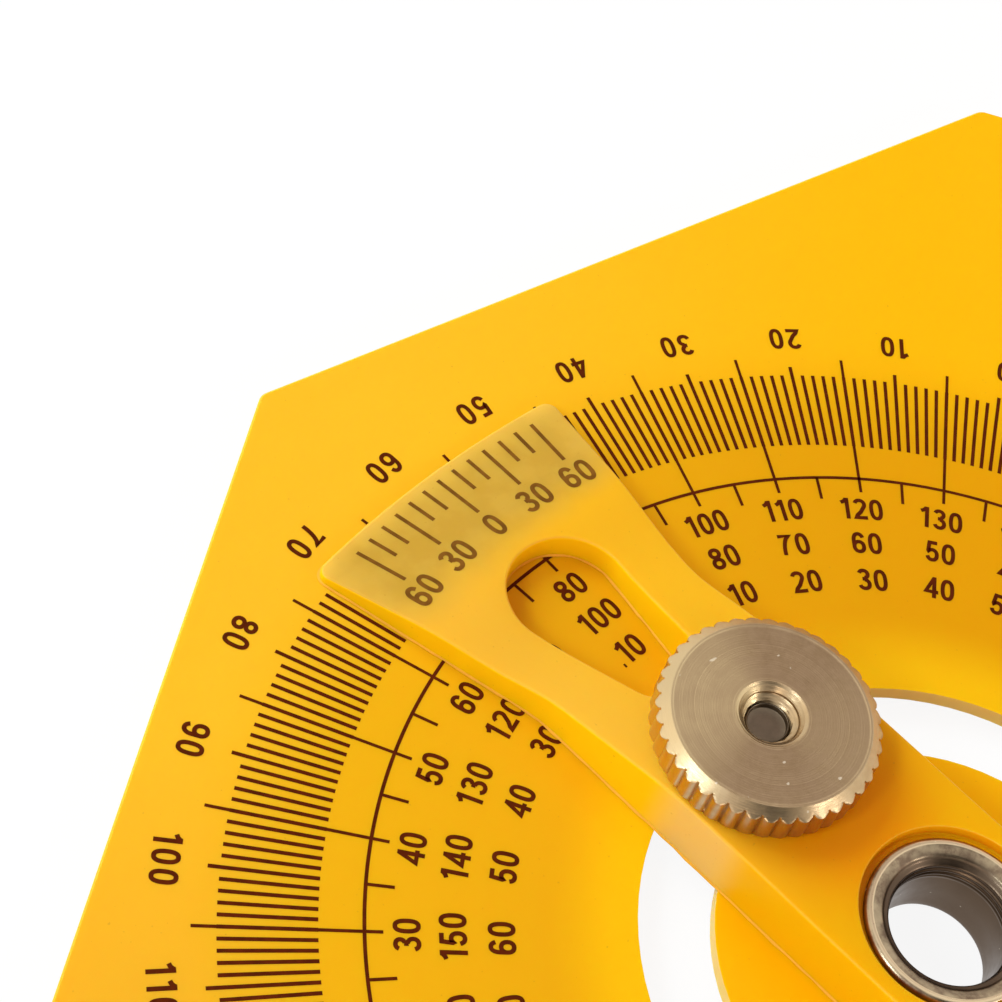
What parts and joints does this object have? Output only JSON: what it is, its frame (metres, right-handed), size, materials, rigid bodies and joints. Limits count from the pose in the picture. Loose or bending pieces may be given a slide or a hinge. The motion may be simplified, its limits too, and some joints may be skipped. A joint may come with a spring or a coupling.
{
  "type": "angle finder",
  "caption": "Flat protractor head with a vernier arm and two long articulating arms on hollow eyelets, clamped by a knurled nut.",
  "frame": {"origin": "centre of the main pivot, on the marked face of the protractor head", "axes": "+X along the head's base line towards the second pivot, +Y towards the scale, +Z out of the marked face"},
  "size_m": [0.295, 0.274, 0.0139],
  "materials": {
    "head_plastic": "translucent yellow-orange moulded plastic, satin gloss",
    "arm_plastic": "translucent yellow moulded plastic, slightly paler where thin",
    "eyelet_brass": "nickel-toned brass, drawn and rolled, satin",
    "nut_brass": "turned face with a straight knurl",
    "screw_steel": "plain zinc-plated steel"
  },
  "bodies": {
    "head": {"protractor_head": "head_plastic", "pivot_eyelet": "eyelet_brass", "pivot_washer": "eyelet_brass", "head_corner_eyelet": "eyelet_brass", "head_corner_washer": "eyelet_brass"},
    "vernier": {"vernier_arm": "arm_plastic", "clamp_screw": "screw_steel", "tail_eyelet": "eyelet_brass", "tail_washer": "eyelet_brass"},
    "swing": {"swing_arm": "arm_plastic", "crossing_eyelet": "eyelet_brass", "crossing_washer": "eyelet_brass"},
    "base": {"base_arm": "head_plastic"},
    "nut": {"knurled_nut": "nut_brass"}
  },
  "joints": [
    {"name": "vernier_turn", "type": "hinge", "parent": "head", "child": "vernier", "pos_m": [0, 0, 0], "axis": [0, 0, -1], "range_deg": [-60, 83]},
    {"name": "swing_turn", "type": "hinge", "parent": "head", "child": "swing", "pos_m": [0.08, 0, 0], "axis": [0, 0, -1], "range_deg": [-60, 83]},
    {"name": "base_turn", "type": "hinge", "parent": "vernier", "child": "base", "pos_m": [0.018, -0.07795, 0], "axis": [0, 0, -1], "range_deg": [-83, 60]},
    {"name": "nut_turn", "type": "hinge", "parent": "vernier", "child": "nut", "pos_m": [-0.00515, 0.02231, 0.0068], "axis": [0, 0, 1], "range_deg": [0, 360]}
  ],
  "couplings": [
    {"joint": "swing_turn", "follows": "vernier_turn", "ratio": 1},
    {"joint": "base_turn", "follows": "vernier_turn", "ratio": -1}
  ]
}
